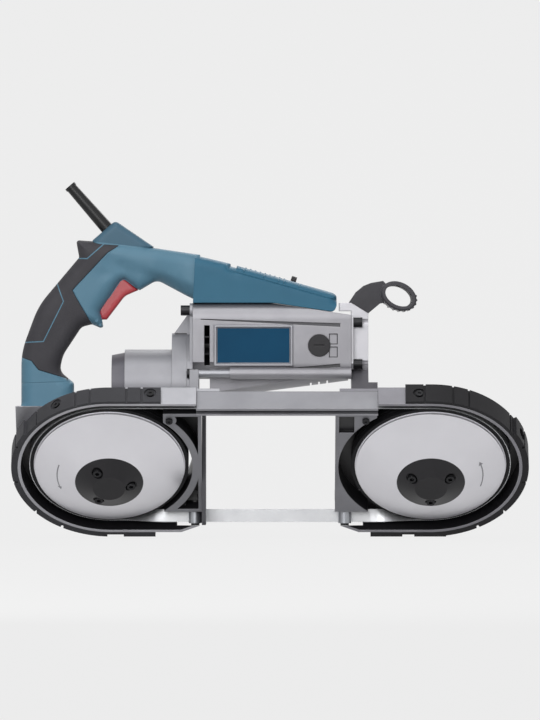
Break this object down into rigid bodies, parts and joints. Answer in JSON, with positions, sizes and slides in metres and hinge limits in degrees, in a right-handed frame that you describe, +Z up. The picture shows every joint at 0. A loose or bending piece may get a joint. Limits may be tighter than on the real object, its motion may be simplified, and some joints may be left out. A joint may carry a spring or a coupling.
{
  "type": "portable band saw",
  "caption": "Hand-held electric band saw: tilted wheels carry a blade twisted upright across an open throat, under a geared motor, a trigger handle and a front grip.",
  "frame": {"origin": "middle of the bounding box at the bottom of the bumper pads", "axes": "+X towards the front grip, +Z up, the open wheel side faces -Y"},
  "size_m": [0.516, 0.154, 0.3557],
  "materials": {
    "alloy": "satin cast alloy",
    "grey_alloy": "cast grey alloy",
    "wheel_alloy": "satin coated",
    "motor_alloy": "silver paint",
    "steel": "machined",
    "blade_steel": "ground",
    "dark_steel": "dark coated steel",
    "black_steel": "blackened",
    "rubber": "matt",
    "soft_grip": "fine textured",
    "blue_plastic": "moulded",
    "black_plastic": "moulded",
    "red_plastic": "moulded",
    "copper": "copper",
    "plate_blue": "printed metal plate"
  },
  "bodies": {
    "frame": {"blade": "blade_steel", "left_wheel_housing": "alloy", "right_wheel_housing": "alloy", "top_beam": "grey_alloy", "left_bumper": "rubber", "right_bumper": "rubber", "frame_screws": "black_steel", "left_guide_arm": "grey_alloy", "right_guide_arm": "grey_alloy", "work_stop": "dark_steel", "roller_pins": "steel", "tension_cover": "dark_steel", "tension_spring": "steel", "gearcase": "alloy", "gearcase_cap": "alloy", "gear_plate": "alloy", "gear_bearings": "steel", "motor_housing": "motor_alloy", "nameplate": "plate_blue", "stator": "dark_steel", "field_coils": "copper", "brush_gear": "copper", "brush_caps": "black_plastic", "housing_bolts": "black_steel", "front_bracket": "alloy", "front_handle": "soft_grip", "left_handle_shell": "blue_plastic", "right_handle_shell": "blue_plastic", "grip_overmould": "soft_grip", "speed_module": "black_plastic", "cord_sleeve": "rubber"},
    "drive": {"drive_wheel": "wheel_alloy", "drive_tyre": "rubber", "drive_hub": "black_plastic", "drive_hub_screws": "black_steel", "drive_axle": "steel", "final_gear": "steel"},
    "intermediate": {"intermediate_shaft": "steel", "bevel_gear": "steel"},
    "counter": {"countershaft": "steel", "first_gear": "steel"},
    "rotor": {"armature": "steel", "commutator": "copper", "fan": "black_plastic"},
    "carriage": {"tension_carriage": "steel", "idler_axle": "steel"},
    "idler": {"idler_wheel": "wheel_alloy", "idler_tyre": "rubber", "idler_hub": "black_plastic", "idler_hub_screws": "black_steel", "idler_bearings": "steel"},
    "lever": {"tension_lever": "black_steel"},
    "trigger_body": {"trigger": "red_plastic"},
    "dial": {"speed_dial": "black_plastic"},
    "left_front_roller_body": {"left_front_roller": "steel"},
    "left_rear_roller_body": {"left_rear_roller": "steel"},
    "left_thrust_roller_body": {"left_thrust_roller": "steel"},
    "right_front_roller_body": {"right_front_roller": "steel"},
    "right_rear_roller_body": {"right_rear_roller": "steel"},
    "right_thrust_roller_body": {"right_thrust_roller": "steel"}
  },
  "joints": [
    {"name": "drive_wheel_spin", "type": "hinge", "parent": "frame", "child": "drive", "pos_m": [-0.16, -0.0013, 0.07778], "axis": [0, -0.7071, -0.7071], "continuous": true},
    {"name": "intermediate_spin", "type": "hinge", "parent": "frame", "child": "intermediate", "pos_m": [-0.128, -0.02847, 0.10495], "axis": [0, -0.7071, -0.7071], "continuous": true},
    {"name": "countershaft_spin", "type": "hinge", "parent": "frame", "child": "counter", "pos_m": [0, 0.01855, 0.15197], "axis": [1, 0, 0], "continuous": true},
    {"name": "rotor_spin", "type": "hinge", "parent": "frame", "child": "rotor", "pos_m": [0, 0.01855, 0.19197], "axis": [1, 0, 0], "continuous": true},
    {"name": "tension_lever_turn", "type": "hinge", "parent": "frame", "child": "lever", "pos_m": [0.206, 0.02245, 0.10154], "axis": [0, -0.7071, -0.7071], "range_deg": [0, 120]},
    {"name": "tension_slide", "type": "slide", "parent": "frame", "child": "carriage", "axis": [1, 0, 0], "range_m": [-0.009, 0], "deforming": ["tension_spring"]},
    {"name": "idler_wheel_spin", "type": "hinge", "parent": "carriage", "child": "idler", "pos_m": [0.16, -0.0013, 0.07778], "axis": [0, -0.7071, -0.7071], "continuous": true},
    {"name": "trigger_pull", "type": "hinge", "parent": "frame", "child": "trigger_body", "pos_m": [-0.1435, 0.01855, 0.25351], "axis": [0, 1, 0], "range_deg": [0, 7], "stiffness_Nm_per_rad": 0.8, "springref_deg": -8.59},
    {"name": "speed_dial_turn", "type": "hinge", "parent": "frame", "child": "dial", "pos_m": [0.02201, 0.01855, 0.2523], "axis": [0.9554, 0, -0.2952], "range_deg": [0, 270]},
    {"name": "left_front_roller_spin", "type": "hinge", "parent": "frame", "child": "left_front_roller_body", "pos_m": [-0.075, 0.04784, 0.02151], "axis": [0, 0, 1], "continuous": true},
    {"name": "left_rear_roller_spin", "type": "hinge", "parent": "frame", "child": "left_rear_roller_body", "pos_m": [-0.075, 0.06209, 0.02151], "axis": [0, 0, 1], "continuous": true},
    {"name": "left_thrust_roller_spin", "type": "hinge", "parent": "frame", "child": "left_thrust_roller_body", "pos_m": [-0.0865, 0.05496, 0.03366], "axis": [0, 1, 0], "continuous": true},
    {"name": "right_front_roller_spin", "type": "hinge", "parent": "frame", "child": "right_front_roller_body", "pos_m": [0.075, 0.04784, 0.02151], "axis": [0, 0, 1], "continuous": true},
    {"name": "right_rear_roller_spin", "type": "hinge", "parent": "frame", "child": "right_rear_roller_body", "pos_m": [0.075, 0.06209, 0.02151], "axis": [0, 0, 1], "continuous": true},
    {"name": "right_thrust_roller_spin", "type": "hinge", "parent": "frame", "child": "right_thrust_roller_body", "pos_m": [0.0865, 0.05496, 0.03366], "axis": [0, 1, 0], "continuous": true}
  ],
  "couplings": [
    {"joint": "intermediate_spin", "follows": "drive_wheel_spin", "ratio": -5.1538},
    {"joint": "countershaft_spin", "follows": "drive_wheel_spin", "ratio": 17.179},
    {"joint": "rotor_spin", "follows": "drive_wheel_spin", "ratio": -82.774},
    {"joint": "idler_wheel_spin", "follows": "drive_wheel_spin", "ratio": 1},
    {"joint": "tension_lever_turn", "follows": "tension_slide", "rad_per_m": -232.71},
    {"joint": "left_front_roller_spin", "follows": "drive_wheel_spin", "ratio": -12.242},
    {"joint": "left_rear_roller_spin", "follows": "drive_wheel_spin", "ratio": 12.242},
    {"joint": "left_thrust_roller_spin", "follows": "drive_wheel_spin", "ratio": -14.468},
    {"joint": "right_front_roller_spin", "follows": "drive_wheel_spin", "ratio": -12.242},
    {"joint": "right_rear_roller_spin", "follows": "drive_wheel_spin", "ratio": 12.242},
    {"joint": "right_thrust_roller_spin", "follows": "drive_wheel_spin", "ratio": -14.468}
  ]
}
